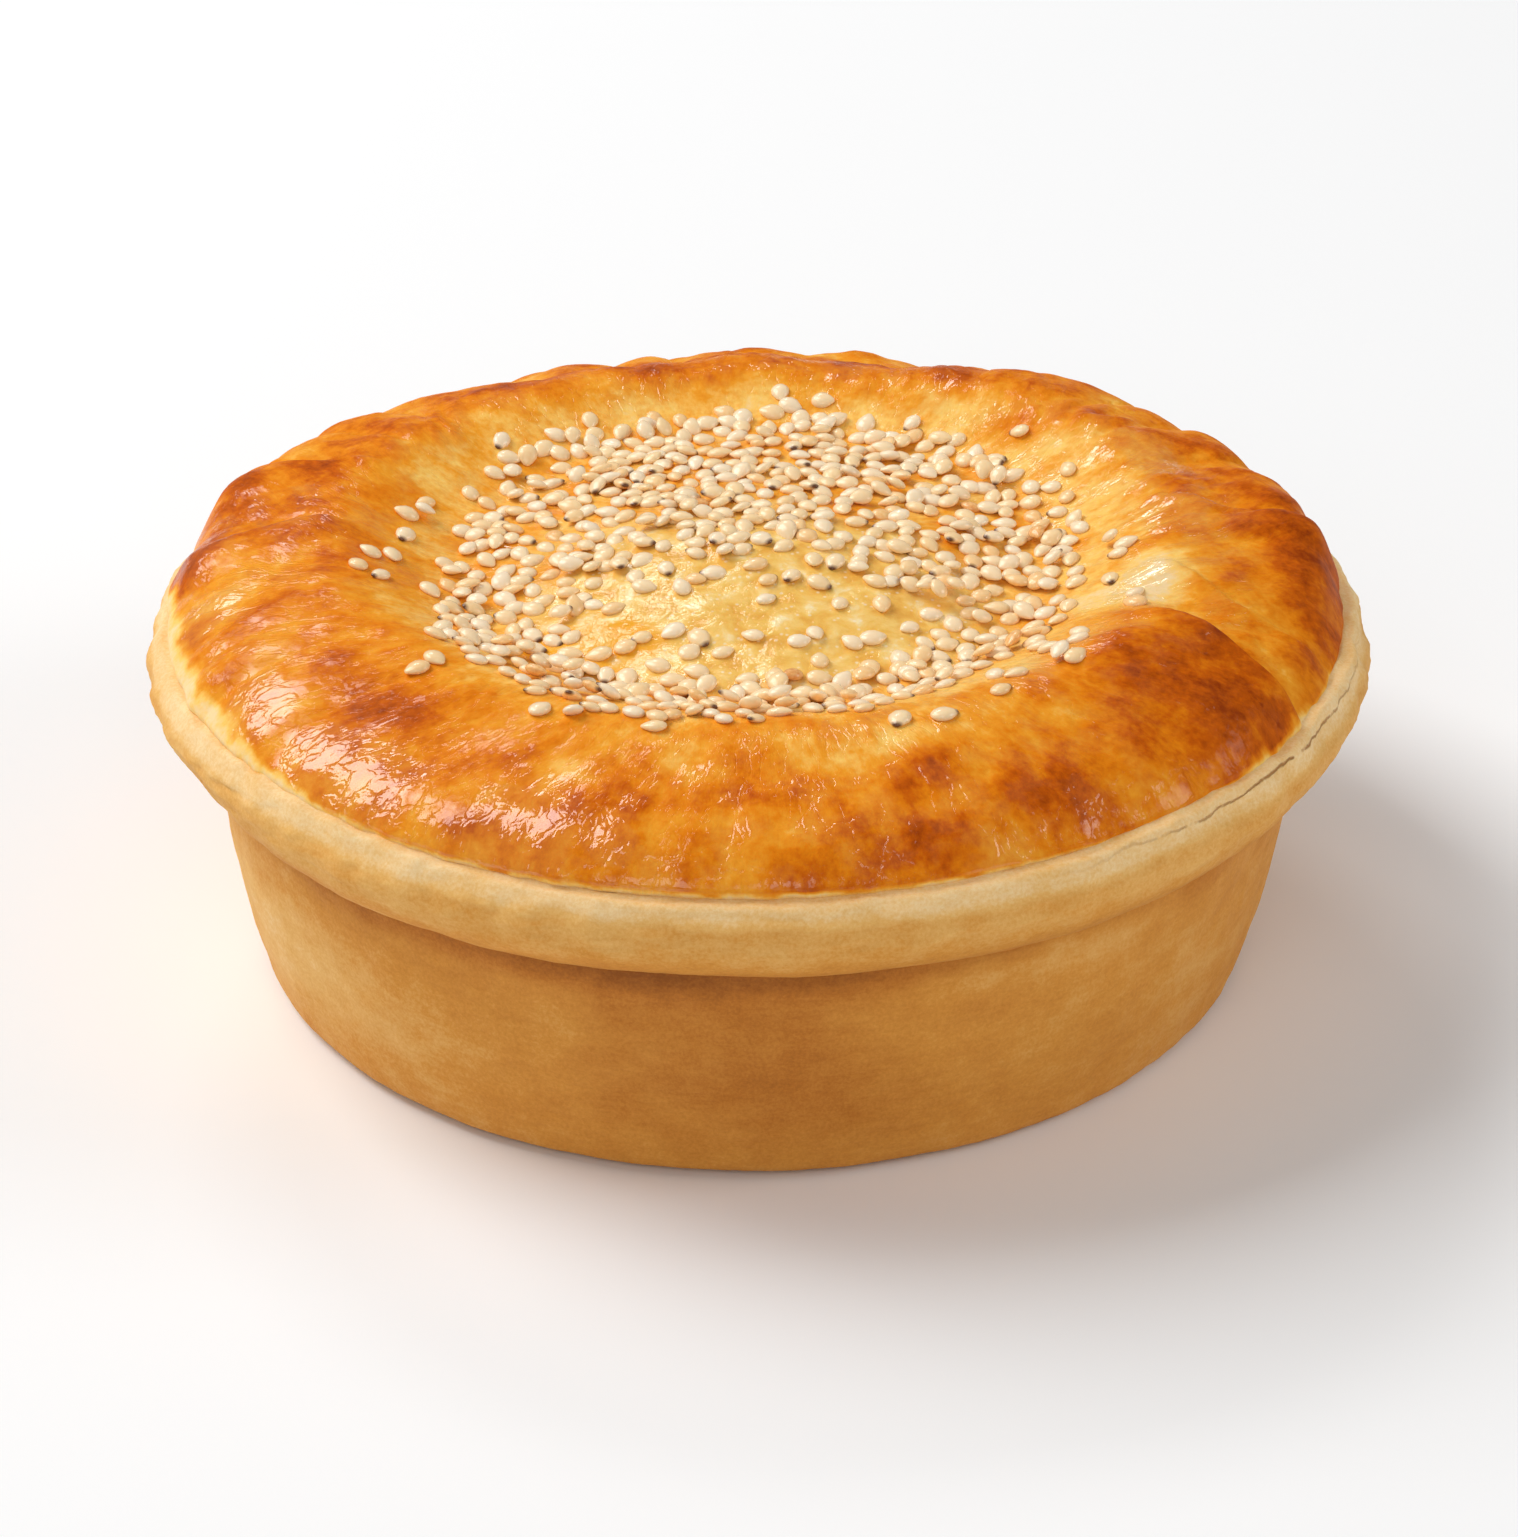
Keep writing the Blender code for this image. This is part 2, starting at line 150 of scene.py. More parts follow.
class Finish:
    # a material with its Principled shader, and short ways to add nodes to it
    def __init__(self, name):
        self.material = bpy.data.materials.new(name)
        self.material.use_nodes = True
        self.tree = self.material.node_tree
        self.shader = self.tree.nodes["Principled BSDF"]
        self.place = self.tree.nodes.new("ShaderNodeTexCoord").outputs["Object"]

    def set(self, **values):
        for name, value in values.items():
            self.shader.inputs[name.replace("_", " ")].default_value = value

    def link(self, output, socket):
        self.tree.links.new(output, self.shader.inputs[socket] if isinstance(socket, str) else socket)

    def number(self, name):
        node = self.tree.nodes.new("ShaderNodeAttribute")
        node.attribute_name = name
        return node.outputs["Fac"]

    def places(self, name):
        node = self.tree.nodes.new("ShaderNodeAttribute")
        node.attribute_name = name
        return node.outputs["Vector"]

    def stretched(self, scale, vector=None):
        node = self.tree.nodes.new("ShaderNodeMapping")
        node.inputs["Scale"].default_value = scale
        self.link(vector or self.place, node.inputs["Vector"])
        return node.outputs["Vector"]

    def warped(self, vector, size, reach):
        # the places pushed about by a noise, so that cells and lines run crooked
        node = self.tree.nodes.new("ShaderNodeTexNoise")
        node.inputs["Scale"].default_value = 1.0 / size
        node.inputs["Detail"].default_value = 2.0
        self.link(vector, node.inputs["Vector"])
        push = self.tree.nodes.new("ShaderNodeVectorMath")
        push.operation = "MULTIPLY_ADD"
        self.link(node.outputs["Color"], push.inputs[0])
        push.inputs[1].default_value = (reach, reach, reach)
        self.link(vector, push.inputs[2])
        return push.outputs["Vector"]

    def noise(self, size, detail=3.0, rough=0.55, vector=None, distortion=0.0):
        node = self.tree.nodes.new("ShaderNodeTexNoise")
        node.inputs["Scale"].default_value = 1.0 / size
        node.inputs["Detail"].default_value = detail
        node.inputs["Roughness"].default_value = rough
        node.inputs["Distortion"].default_value = distortion
        self.link(vector or self.place, node.inputs["Vector"])
        return node.outputs["Fac"]

    def cells(self, size, feature="DISTANCE_TO_EDGE", vector=None):
        node = self.tree.nodes.new("ShaderNodeTexVoronoi")
        node.feature = feature
        node.inputs["Scale"].default_value = 1.0 / size
        self.link(vector or self.place, node.inputs["Vector"])
        return node.outputs["Distance"]

    def math(self, operation, first, second=0.0, third=0.0, clamp=False):
        node = self.tree.nodes.new("ShaderNodeMath")
        node.operation = operation
        node.use_clamp = clamp
        for socket, value in zip(node.inputs, (first, second, third)):
            if isinstance(value, (int, float)):
                socket.default_value = value
            else:
                self.link(value, socket)
        return node.outputs[0]

    def remap(self, value, low, high, newLow, newHigh):
        node = self.tree.nodes.new("ShaderNodeMapRange")
        self.link(value, node.inputs["Value"])
        names = ("From Min", "From Max", "To Min", "To Max")
        for name, number in zip(names, (low, high, newLow, newHigh)):
            node.inputs[name].default_value = number
        return node.outputs["Result"]

    def ramp(self, value, stops):
        node = self.tree.nodes.new("ShaderNodeValToRGB")
        ramp = node.color_ramp
        while len(ramp.elements) < len(stops):
            ramp.elements.new(0.5)
        for element, (place, colour) in zip(ramp.elements, stops):
            element.position = place
            element.color = linear(*colour)
        self.link(value, node.inputs["Fac"])
        return node.outputs["Color"]

    def mix(self, share, first, second):
        node = self.tree.nodes.new("ShaderNodeMix")
        node.data_type = "RGBA"
        colours = [socket for socket in node.inputs if socket.type == "RGBA"]
        self.link(share, node.inputs["Factor"])
        for socket, value in zip(colours, (first, second)):
            if isinstance(value, tuple):
                socket.default_value = value
            else:
                self.link(value, socket)
        return [socket for socket in node.outputs if socket.type == "RGBA"][0]

    def bump(self, height, distance, strength=1.0, after=None):
        node = self.tree.nodes.new("ShaderNodeBump")
        node.inputs["Distance"].default_value = distance
        node.inputs["Strength"].default_value = strength
        self.link(height, node.inputs["Height"])
        if after:
            self.link(after, node.inputs["Normal"])
        return node.outputs["Normal"]


crustFinish = {
    "browned": [  # from the unbaked edge through golden to the darkest browning
        (0.00, (246, 216, 162)),
        (0.20, (252, 204, 106)),
        (0.42, (240, 160, 44)),
        (0.62, (228, 130, 16)),
        (0.80, (200, 94, 8)),
        (1.00, (148, 58, 5)),
    ],
    "cream": [  # the unbrowned middle, from its deepest yellow to its palest spots
        (0.36, (234, 174, 74)),
        (0.48, (243, 194, 94)),
        (0.58, (249, 208, 120)),
        (0.70, (253, 232, 178)),
    ],
    # pale flecks on the cream middle: partly real specks, partly painted glints of its wet surface
    "fleckAndPaintedGlint": (255, 246, 222),
    "fleckAndGlintCells": 1.1 * mm,
    "yolk": (250, 174, 30),
    "fine": (1.1 * mm, 0.07),  # the size of a pattern, and how much browner or paler it makes the crust
    "blotches": (5.0 * mm, 0.07),
    "brushMarks": (2.0 * mm, 0.07),
    "speckles": (0.45 * mm, 0.02),
    "softPatches": 3.6 * mm,
    "creaseCells": 2.3 * mm,
    "smallCells": 1.0 * mm,
    "creasedPatches": 6.0 * mm,
    "creaseDepth": 0.10 * mm,
    "skinDepth": 0.14 * mm,
    "facetSize": 2.6 * mm,
    "facetDepth": 0.02 * mm,
    "moistDepth": 0.35 * mm,
    "glaze": 0.85,
    "creamGlaze": 0.6,
    "glazePatches": 4.5 * mm,
    "thickest": 0.82,
}


def eggWashedCrust():
    f = crustFinish
    look = Finish("egg-washed crust")
    skin = look.places("skin")
    cream = look.number("cream")
    glaze = look.number("glaze")
    onSkin = look.math("SUBTRACT", 1.0, cream)
    fine = look.noise(f["fine"][0], detail=4.0, rough=0.55)
    blotch = look.noise(f["blotches"][0], detail=6.0, rough=0.6, distortion=0.4)
    outwards = look.stretched((1.0, 1.0, 0.55), skin)
    brushed = look.noise(f["brushMarks"][0], detail=5.0, rough=0.62, vector=outwards)
    speckle = look.noise(f["speckles"][0], detail=3.0, vector=look.stretched((1.0, 1.0, 0.5), skin))
    crooked = look.warped(look.stretched((1.0, 1.0, 0.6), skin), 2.0 * mm, 2.2 * mm)
    creases = look.remap(look.cells(f["creaseCells"], vector=crooked), 0.0, 0.10, 0.0, 1.0)
    small = look.remap(look.cells(f["smallCells"], vector=crooked), 0.0, 0.20, 0.0, 1.0)
    some = look.remap(look.noise(f["creasedPatches"], detail=2.0), 0.40, 0.62, 0.15, 1.0)
    brown = look.number("browning")
    for pattern, spread, name in ((fine, 0.2, "fine"), (blotch, 0.14, "blotches"),
                                  (brushed, 0.2, "brushMarks"), (speckle, 0.15, "speckles")):
        reach = f[name][1]
        brown = look.math("ADD", brown, look.remap(pattern, 0.5 - spread, 0.5 + spread, -reach, reach))
    crustColour = look.ramp(brown, f["browned"])
    soft = look.noise(f["softPatches"], detail=4.0, rough=0.58, distortion=0.3)
    # pale dots on the cream: partly real specks, partly painted glints
    dots = look.remap(look.cells(f["fleckAndGlintCells"], "F1"), 0.10, 0.26, 0.5, 0.0)
    creamColour = look.mix(dots, look.ramp(soft, f["cream"]), linear(*f["fleckAndPaintedGlint"]))
    colour = look.mix(cream, crustColour, creamColour)
    yolk = look.math("MULTIPLY", look.number("yolk"), look.remap(soft, 0.38, 0.62, 1.0, 0.35), clamp=True)
    colour = look.mix(yolk, colour, linear(*f["yolk"]))
    look.link(colour, "Base Color")
    facets = look.noise(f["facetSize"], detail=1.0, rough=0.4, vector=look.stretched((1.0, 1.0, 0.6), skin))
    creased = look.math("MULTIPLY_ADD", small, 0.3, creases)
    creased = look.math("MULTIPLY", creased, look.math("MULTIPLY", some, onSkin))
    wet = look.math("MULTIPLY", look.math("MULTIPLY_ADD", fine, 0.3, soft), cream)
    moist = look.bump(wet, f["moistDepth"], 1.0)
    grained = look.math("MULTIPLY_ADD", brushed, 1.2, look.math("MULTIPLY", fine, 0.6))
    grained = look.math("MULTIPLY", grained, onSkin)
    surface = look.bump(grained, f["skinDepth"], 1.0, after=moist)
    look.link(look.bump(creased, 0.3 * f["creaseDepth"], 1.0, after=surface), "Normal")
    # the glaze has broader facets than the skin under it, and it lies in patches
    surface = look.bump(look.math("MULTIPLY", facets, onSkin), f["facetDepth"], 1.0, after=moist)
    look.link(look.bump(creased, f["creaseDepth"], 1.0, after=surface), "Coat Normal")
    glazed = look.noise(f["glazePatches"], detail=4.0, rough=0.6, vector=skin)
    glazed = look.remap(glazed, 0.47, 0.58, 0.08, 0.6)
    glazed = look.math("MAXIMUM", look.math("MAXIMUM", glazed, cream), look.number("wet"))
    glazed = look.math("MULTIPLY", glaze, look.math("MINIMUM", glazed, f["thickest"]))
    look.link(look.remap(glaze, 0.0, 1.0, 0.6, 0.32), "Roughness")
    coat = look.math("MULTIPLY", glazed, look.remap(cream, 0.0, 1.0, f["glaze"], f["creamGlaze"]))
    look.link(coat, "Coat Weight")
    look.set(Coat_Roughness=0.08, Coat_IOR=1.85, Specular_IOR_Level=0.03,
             Subsurface_Weight=0.10, Subsurface_Radius=(1.0, 0.45, 0.12), Subsurface_Scale=1.2 * mm)
    return look.material


pastryFinish = {
    "toasted": [
        (0.00, (250, 220, 168)),
        (0.25, (236, 186, 108)),
        (0.50, (218, 150, 62)),
        (0.75, (192, 119, 42)),
        (1.00, (150, 86, 28)),
    ],
    "crack": (176, 122, 66),
    "crackSwing": 0.35 * mm,
    "crackJag": 0.12 * mm,
    "crackHalf": (0.05 * mm, 0.20 * mm),
    "patches": 5.0 * mm,
    "layers": 1.6 * mm,
    "grain": 0.45 * mm,
    "bumpDepth": 0.13 * mm,
}


def bakedPastry():
    f = pastryFinish
    look = Finish("baked pastry")
    patches = look.noise(f["patches"], detail=5.0, rough=0.65)
    layers = look.noise(f["layers"], detail=4.0, rough=0.6, vector=look.stretched((0.3, 0.3, 1.6)))
    grain = look.noise(f["grain"], detail=3.0, rough=0.7)
    toast = look.math("ADD", look.number("toast"), look.remap(patches, 0.3, 0.7, -0.06, 0.06))
    toast = look.math("ADD", toast, look.remap(layers, 0.35, 0.65, 0.03, -0.03))
    toast = look.math("ADD", toast, look.remap(grain, 0.35, 0.65, 0.06, -0.06), clamp=True)
    # a broken line where the lid was pressed on
    swing = look.remap(look.noise(8.0 * mm, detail=1.0), 0.3, 0.7, -f["crackSwing"], f["crackSwing"])
    jag = look.remap(look.noise(1.4 * mm, detail=2.0), 0.3, 0.7, -f["crackJag"], f["crackJag"])
    line = look.math("ADD", swing, jag)
    off = look.math("ABSOLUTE", look.math("SUBTRACT", look.number("aboveCrack"), line))
    opened = look.noise(4.0 * mm, detail=3.0, vector=look.stretched((1.0, 1.0, 0.4)))
    opened = look.remap(opened, 0.40, 0.47, 0.0, 1.0)
    crack = look.math("MULTIPLY", look.remap(off, *f["crackHalf"], 1.0, 0.0), opened)
    crack = look.math("MULTIPLY", crack, look.number("crack"), clamp=True)
    look.link(look.mix(crack, look.ramp(toast, f["toasted"]), linear(*f["crack"])), "Base Color")
    height = look.math("MULTIPLY_ADD", layers, 0.8, look.math("MULTIPLY", grain, 0.35))
    height = look.math("MULTIPLY_ADD", crack, -1.4, height)
    look.link(look.bump(height, f["bumpDepth"], 1.0), "Normal")
    look.link(look.remap(patches, 0.3, 0.7, 0.6, 0.75), "Roughness")
    look.set(Specular_IOR_Level=0.2, Subsurface_Weight=0.08,
             Subsurface_Radius=(1.0, 0.6, 0.3), Subsurface_Scale=1.2 * mm)
    return look.material


seedFinish = {
    "tones": [
        (0.0, (255, 235, 204)),
        (0.5, (255, 223, 172)),
        (0.85, (251, 200, 132)),
        (1.0, (226, 153, 80)),
    ],
    "tip": (96, 52, 22),
}


def sesameSkin():
    f = seedFinish
    look = Finish("sesame skin")
    uneven = look.remap(look.noise(0.5 * mm), 0.3, 0.7, -0.08, 0.08)
    tone = look.math("ADD", look.number("tone"), uneven, clamp=True)
    colour = look.ramp(tone, f["tones"])
    colour = look.mix(look.number("tip"), colour, linear(*f["tip"]))
    look.link(colour, "Base Color")
    ridges = look.noise(0.25 * mm, detail=2.0)
    look.link(look.bump(ridges, 0.02 * mm, 0.6), "Normal")
    look.set(Roughness=0.4, Specular_IOR_Level=0.3, Coat_Weight=0.7, Coat_Roughness=0.12,
             Subsurface_Weight=0.12, Subsurface_Radius=(1.0, 0.7, 0.5), Subsurface_Scale=0.8 * mm)
    return look.material


lid = {
    "outline": [
        (0.0, 52.2), (12.0, 51.9), (21.0, 51.0), (28.5, 49.7), (35.0, 49.0), (39.5, 50.1), (43.5, 51.9),
        (47.5, 53.7), (51.0, 54.5), (54.5, 54.3), (58.5, 53.1), (62.5, 51.4), (66.0, 49.6), (69.0, 47.6),
        (71.2, 45.6), (71.9, 44.6), (71.6, 43.6), (71.2, 43.25),
    ],
    "tuck": (70.4 * mm, 43.15 * mm),  # where the edge turns under, on the case
    "spacing": 0.6 * mm,
    "segments": 720,
    "seam": 43.8 * mm,
    "halfInside": 34.0 * mm,
    "quarterInside": 15.0 * mm,
    "pleats": 29,
    "pleatLines": 4 * 29,
    "pleatDepth": 1.3 * mm,
    "pleatWander": 0.28,
    "pleatTwist": 6.0,
    "pleatStart": 43.0 * mm,
    "pleatFull": 62.0 * mm,
    "rimRadius": 75.0 * mm,
    "softPleats": (-5.0, 95.0),  # where they hardly show: the angle of the middle and how far round it goes
    "calmGlaze": (-38.0, 46.0),
    "calmFrom": (54.0 * mm, 61.0 * mm),
    "bigFolds": [  # angle of the ridge outside and inside, rise in millimetres and width of the front slope
        (61.0, 57.5, 2.5, 24.0), (71.0, 78.0, 0.9, 9.0), (94.0, 99.0, 1.1, 15.0),
        (122.0, 126.0, 0.8, 14.0), (-73.0, -73.0, 0.6, 11.0), (-92.0, -92.0, 1.0, 14.0),
        (-111.0, -111.0, 0.8, 13.0),
    ],
    "foldDrop": 1.8,
    "foldStart": 46.0 * mm,
    "foldFull": 57.0 * mm,
    "foldOutside": 62.0 * mm,
    "border": (60.0 * mm, 15.0 * mm),
    "front": (55.0 * mm, 14.0 * mm),
    "frontRises": [(-2.2 * mm, -16.0, 70.0)],
    "borderRises": [  # rise, angle of the middle and how far round it goes
        (0.6 * mm, 45.0, 50.0), (-2.9 * mm, 180.0, 75.0), (1.3 * mm, 180.0, 13.0),
        (2.3 * mm, 141.0, 21.0),
    ],
    "shoulder": (68.0 * mm, 11.0 * mm),
    "shoulderRises": [(1.9 * mm, -108.0, 38.0), (3.2 * mm, 98.0, 32.0)],
    "valley": (54.0 * mm, 11.0 * mm),
    "valleyRises": [(-1.0 * mm, 68.0, 9.0), (-0.7 * mm, -84.0, 10.0)],
    "hollow": (32.0 * mm, 15.0 * mm),
    "hollowRises": [(1.7 * mm, 180.0, 125.0)],  # the hollow round the dome is filled at the back
    "domeRise": (1.9 * mm, 31.0 * mm),
    "domeEdge": (30.0 * mm, 40.0 * mm),
    "domeLumps": [(0.45 * mm, 9.0 * mm), (0.16 * mm, 3.2 * mm)],
    "lump": (0.75 * mm, 17.0 * mm),
    "bump": (0.40 * mm, 6.5 * mm),
    "plainRadius": 40.0 * mm,
    "wrinkled": (36.0 * mm, 52.0 * mm),
    "wrinkle": 0.5 * mm,
    "wrinkleWave": (4.2 * mm, 9.0 * mm),
    "crinkle": 0.07 * mm,
    "crinkleWave": (1.9 * mm, 3.4 * mm),
    "raggedEdge": 0.35 * mm,
    "raggedWave": 2.6 * mm,
    "slant": 14.0,
    "slantZone": (72.0 * mm, 45.0 * mm),
    "skinRadius": 66.0 * mm,
}


def creaseAngles():
    draw = random.Random(drawSeed)
    width = 360.0 / lid["pleats"]
    line = 360.0 / lid["pleatLines"]
    moved = [width * (i + lid["pleatWander"] * draw.uniform(-1.0, 1.0)) for i in range(lid["pleats"])]
    return sorted(turnedAway(line * round(angle / line), 0.0) for angle in moved)


creases = creaseAngles()


def pleatAt(radius, angle):
    # how far up its lobe this place is, 0 in a crease and 1 on top, and the lobe's own height
    twist = lid["pleatTwist"] * math.sin(math.radians(angle))
    outside = turnedAway(angle + twist * blend(lid["rimRadius"], lid["pleatStart"], radius), 0.0)
    place = bisect.bisect_right(creases, outside)
    start = creases[place - 1] if place else creases[-1] - 360.0
    end = creases[place] if place < len(creases) else creases[0] + 360.0
    lobe = math.sin(math.pi * min(max((outside - start) / (end - start), 0.0), 1.0)) ** 0.7
    return lobe, 0.6 + 0.8 * wobble(start, 0.0, 0.0, 7.0, 1)


def foldLift(radius, angle):
    lift = 0.0
    for outer, inner, height, width in lid["bigFolds"]:
        ridge = inner + (outer - inner) * blend(lid["foldStart"], lid["foldOutside"], radius)
        behind = turnedAway(angle, ridge) * math.copysign(1.0, ridge)
        if behind < 0.0:
            lift += height * mm * blend(-width, 0.0, behind)
        else:
            lift += height * mm * (1.0 - blend(0.0, lid["foldDrop"], behind))
    return lift * blend(lid["foldStart"], lid["foldFull"], radius)


def borderLift(radius, angle):
    lift = lid["domeRise"][0] * hump(0.0, lid["domeRise"][1], radius)
    for zone in ("front", "border", "shoulder", "valley", "hollow"):
        lift += hump(*lid[zone], radius) * roundTheSide(lid[zone + "Rises"], angle)
    return lift


def slanted(radius, angle):
    # the place on a circle that a pattern is read at, turned further in the middle than at the edge
    lean = lid["slant"] * math.sin(math.radians(angle)) * blend(*lid["slantZone"], radius)
    turn = math.radians(angle + lean)
    return Vector((math.sin(turn), -math.cos(turn))) * lid["skinRadius"]


def wrinkleAt(x, y, radius, angle):
    # slanted folds of the skin, long ones with short ones across them
    bend = 2.2 * mm * wobble(x, y, 0.0, 6.0 * mm, 6)
    arc = slanted(radius, angle)
    depth = 0.0
    for (along, across), height, channel in (
            (lid["wrinkleWave"], lid["wrinkle"], 3.1), (lid["crinkleWave"], lid["crinkle"], 8.3)):
        outwards = (radius + bend) / across + channel
        place = Vector(((arc.x + bend) / along, (arc.y + bend) / along, outwards))
        depth += height * (1.7 * min(abs(noise.noise(place)), 0.5) - 0.4)
    return depth * (0.7 + 0.6 * wobble(x, y, 0.0, 14.0 * mm, 20))


def shapeLid(bm):
    # pushes the turned lid out of round, and gives each point its browning
    numbers = {"browning": [], "cream": [], "yolk": [], "glaze": [], "wet": []}
    skin = []
    for v in bm.verts:
        radius = v.co.xy.length
        z = v.co.z
        angle = angleOf(v.co)
        x, y = v.co.x, v.co.y
        lobe, lobeHeight = pleatAt(radius, angle)
        gathered = blend(lid["pleatStart"], lid["pleatFull"], radius)
        softer = 1.0 - 0.8 * hump(*lid["softPleats"], angle)
        pleat = lid["pleatDepth"] * lobeHeight * softer * (lobe - 0.6) * gathered
        fold = foldLift(radius, angle)
        # smoother where the glaze lies in broad patches
        calm = hump(*lid["calmGlaze"], angle) * blend(*lid["calmFrom"], radius)
        bordered = 0.35 + 0.65 * blend(lid["plainRadius"], lid["pleatFull"], radius)
        lump = lid["lump"][0] * wobble(x, y, 0.0, lid["lump"][1], 2)
        small = lid["bump"][0] * wobble(x, y, 0.0, lid["bump"][1], 3)
        lift = pleat + fold + borderLift(radius, angle) + (lump + small * (1.0 - 0.5 * calm)) * bordered
        wrinkled = 0.0
        if radius > lid["wrinkled"][0]:
            wrinkled = wrinkleAt(x, y, radius, angle) * blend(*lid["wrinkled"], radius)
            wrinkled *= (0.5 + 0.5 * softer) * (1.0 - 0.75 * calm)
        onDome = 1.0 - blend(*lid["domeEdge"], radius)
        wrinkled += onDome * sum(height * wobble(x, y, 0.0, wave, 24) for height, wave in lid["domeLumps"])
        lift += wrinkled
        if radius > 0.01 * mm and z > lid["seam"] - 0.2 * mm:
            away = Vector((x, y, 0.0)) / radius
            v.co.z += lift * blend(lid["seam"], lid["seam"] + 4.0 * mm, z)
            if radius > lid["pleatFull"]:
                v.co += away * (0.8 * pleat + 0.35 * fold * blend(lid["pleatFull"], 70.0 * mm, radius))
                ragged = lid["raggedEdge"] * hump(lid["seam"], 1.6 * mm, z)
                v.co += away * ragged * wobble(x, y, 0.0, lid["raggedWave"], 7)
        lobes = softer * (lobe * lobeHeight - 0.35)
        made = brownAt(x, y, radius, angle, z, lobes, fold, small + wrinkled)
        for name, number in made.items():
            numbers[name].append(number)
        arc = slanted(radius, angle)
        outwards = radius + 0.7 * max(0.0, 50.0 * mm - z) * blend(60.0 * mm, 66.0 * mm, radius)
        skin.append((arc.x, arc.y, outwards))
    return numbers, skin


browned = {
    "inner": 0.27,
    "gain": 0.30,
    "from": 40.0 * mm,
    "to": 56.0 * mm,
    # painted shade: the crust under and between the seeds is browner, standing in for the warm shade between
    # them
    "paintedShadeUnderSeeds": 0.10,
    "lobes": 0.14,
    "folds": 0.10,
    "lumps": 0.34,
    "mottle": (0.20, 0.12),
    "darkest": 0.98,
    "patches": [  # angle, radius, reach round, reach outwards, how much browner
        (15.0, 69.0, 10.0, 6.0, 0.26), (31.0, 67.0, 11.0, 8.0, 0.22), (53.0, 66.5, 9.0, 9.0, 0.14),
        (46.0, 64.0, 16.0, 9.0, 0.10), (86.0, 68.0, 18.0, 9.0, 0.42), (108.0, 67.0, 16.0, 12.0, 0.26),
        (-47.0, 59.5, 15.0, 6.0, 0.36), (-100.0, 67.0, 16.0, 8.0, 0.20), (-114.0, 58.0, 18.0, 8.0, 0.16),
        # the palest of these, at 73 degrees and 50 mm, is partly paler crust behind the big fold and partly a
        # painted highlight there
        (-5.0, 57.0, 9.0, 4.0, -0.14), (20.0, 54.0, 26.0, 6.0, -0.18), (73.0, 50.0, 13.0, 10.0, -0.50),
        (65.0, 62.0, 3.5, 8.0, -0.22), (-84.0, 44.0, 24.0, 8.0, 0.20), (150.0, 56.0, 30.0, 8.0, 0.20),
        (-150.0, 56.0, 32.0, 8.0, 0.20), (-83.0, 62.0, 8.0, 8.0, -0.20), (-15.0, 65.0, 20.0, 6.0, 0.10),
        (18.0, 62.0, 8.0, 4.0, 0.16), (180.0, 51.0, 70.0, 9.0, 0.18), (-95.0, 49.0, 40.0, 10.0, 0.12),
        (180.0, 59.0, 40.0, 6.0, 0.16),
    ],
    "wet": [  # angle, radius, reach round and reach outwards of the patches where the glaze is thick
        (-59.0, 68.0, 7.0, 7.0), (-43.0, 68.0, 14.0, 8.0), (-23.0, 68.0, 9.0, 7.0),
        (-79.0, 68.0, 5.0, 8.0), (-14.0, 68.0, 4.0, 4.0), (71.0, 50.0, 12.0, 7.0),
        (92.0, 52.0, 10.0, 6.0), (112.0, 54.0, 12.0, 6.0), (45.0, 48.0, 12.0, 5.0),
    ],
    "dry": [(-38.0, 53.0, 62.0, 14.0, 0.8)],  # the same for where it is thin, and how much thinner
    "paleBelow": 50.0 * mm,
    "paleEdge": [(0.9, 60.0, 24.0), (2.5, -72.0, 46.0), (0.4, 180.0, 90.0)],
    "paleEdgeLeast": 0.35,
    "thinSide": (20.0, 60.0),  # the angles between which the glaze grows thin, on towards the back
    "thinFrom": 56.0,
    "cream": ((1.0 * mm, -14.0 * mm), (31.0 * mm, 22.0 * mm)),  # middle and half sizes
    "creamEdge": (0.78, 1.06),
    "yolk": ((-19.0 * mm, -21.0 * mm), (10.0 * mm, 8.5 * mm)),
    "yolkTurn": (0.97, 0.24),
}


def nearPatch(radius, angle, patch):
    atAngle, atRadius, reachRound, reachOut = patch
    return hump(0.0, reachRound, turnedAway(angle, atAngle)) * hump(atRadius * mm, reachOut * mm, radius)


